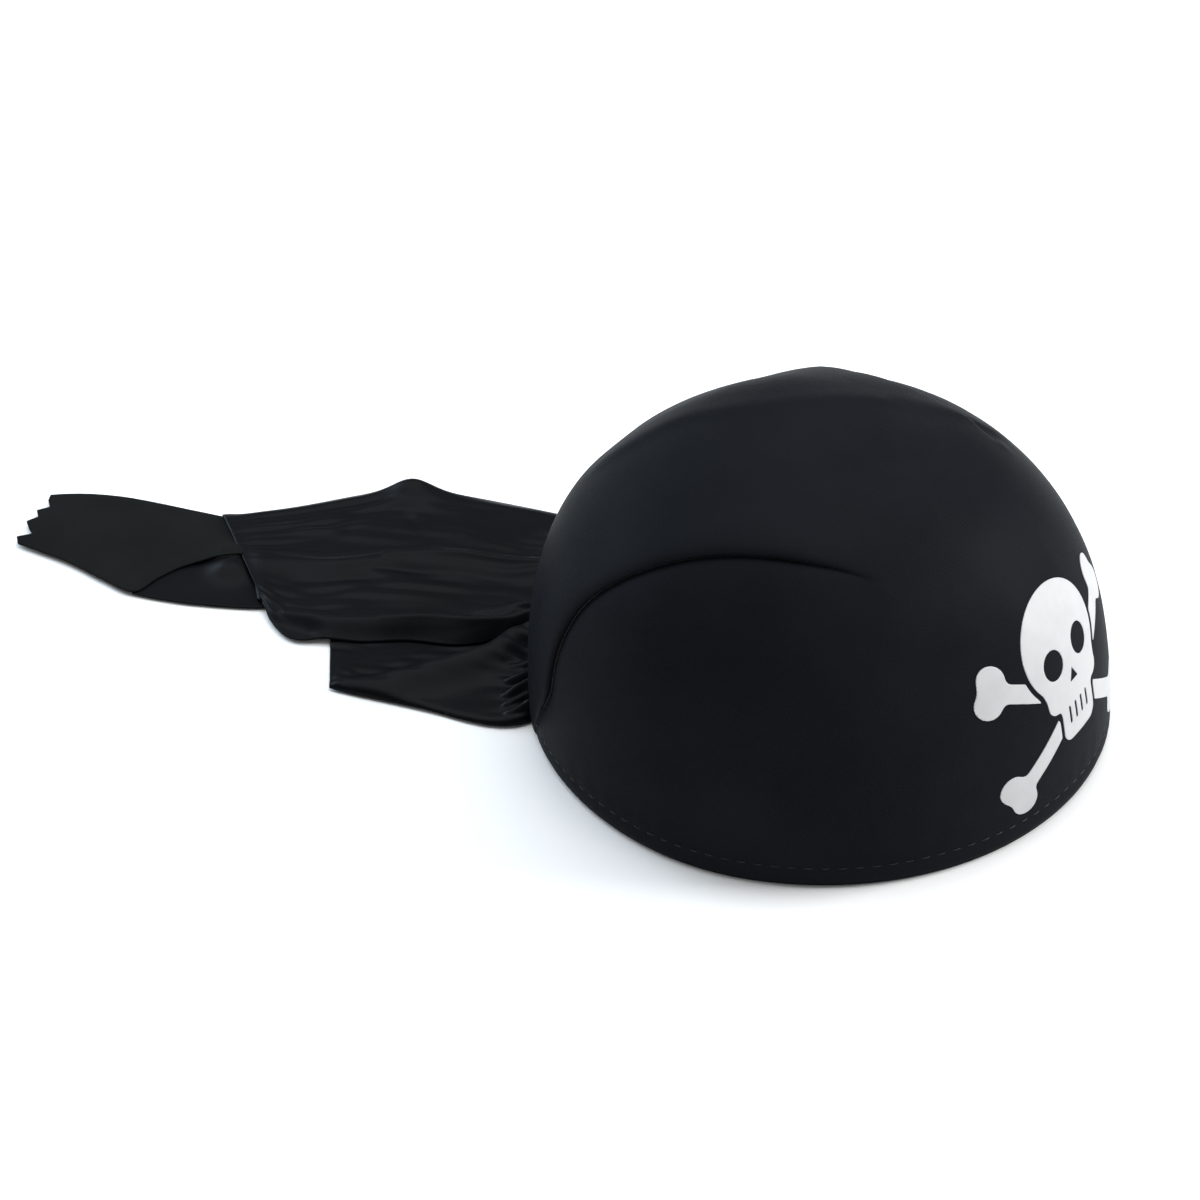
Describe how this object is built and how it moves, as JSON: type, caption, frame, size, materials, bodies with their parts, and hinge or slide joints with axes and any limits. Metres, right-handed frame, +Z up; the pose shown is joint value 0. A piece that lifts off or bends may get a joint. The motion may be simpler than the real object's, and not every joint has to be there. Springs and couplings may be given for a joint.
{
  "type": "pirate hat",
  "caption": "Moulded bandana pirate hat: stiffened black dome cap with a printed front and a gathered cloth tail at the back.",
  "frame": {"origin": "centre of the head opening, in the plane of the rim that the cap rests on", "axes": "+X towards the front of the cap, +Y towards the wearer's left, +Z up to the crown; the tail runs out along -X"},
  "size_m": [0.4443, 0.203, 0.1272],
  "materials": {
    "black_knit": "fine ribbed knit with a soft sheen",
    "tail_satin": "thin satin-backed cloth, matte wrong side",
    "foam": "moulded foam, matte",
    "lining": "thin brushed tricot",
    "band": "soft woven tape",
    "elastic": "braided elastic",
    "black_thread": "twisted polyester thread",
    "label": "blank satin label",
    "white_print": "matt heat-transfer film"
  },
  "bodies": {
    "cap": {"outer_cover": "black_knit", "foam_shell": "foam", "inner_lining": "lining", "rim_hem": "black_knit", "sweatband": "band", "hem_topstitching": "black_thread", "sweatband_stitching": "black_thread", "nape_elastic": "elastic", "skull_print": "white_print", "bone_print_upper_left": "white_print", "bone_print_upper_right": "white_print", "bone_print_lower_left": "white_print", "bone_print_lower_right": "white_print", "tail_gather": "tail_satin", "shirring_elastic": "elastic", "tail_seam_stitching": "black_thread"},
    "flap": {"tail_flap": "tail_satin"},
    "short_tie": {"short_tie": "tail_satin"},
    "long_tie": {"long_tie": "tail_satin"},
    "long_tie_end": {"long_tie_end": "tail_satin"},
    "label": {"care_label": "label"}
  },
  "joints": [
    {"name": "tail_swing", "type": "hinge", "parent": "cap", "child": "flap", "pos_m": [-0.116, 0, 0.0049], "axis": [0, 1, 0], "range_deg": [-80, 80]},
    {"name": "short_tie_drop", "type": "hinge", "parent": "flap", "child": "short_tie", "pos_m": [-0.124, 0, 0.0015], "axis": [0, 1, 0], "range_deg": [-30, 0]},
    {"name": "long_tie_drop", "type": "hinge", "parent": "flap", "child": "long_tie", "pos_m": [-0.124, 0, 0.0015], "axis": [0, 1, 0], "range_deg": [-30, 0]},
    {"name": "tie_end_fold", "type": "hinge", "parent": "long_tie", "child": "long_tie_end", "pos_m": [-0.24519, -0.01679, 0.0015], "axis": [0.7152, -0.6989, 0], "range_deg": [-80, 60]},
    {"name": "label_flip", "type": "hinge", "parent": "cap", "child": "label", "pos_m": [-0.099, 0, 0.027], "axis": [0, 1, 0], "range_deg": [-60, 0]}
  ]
}
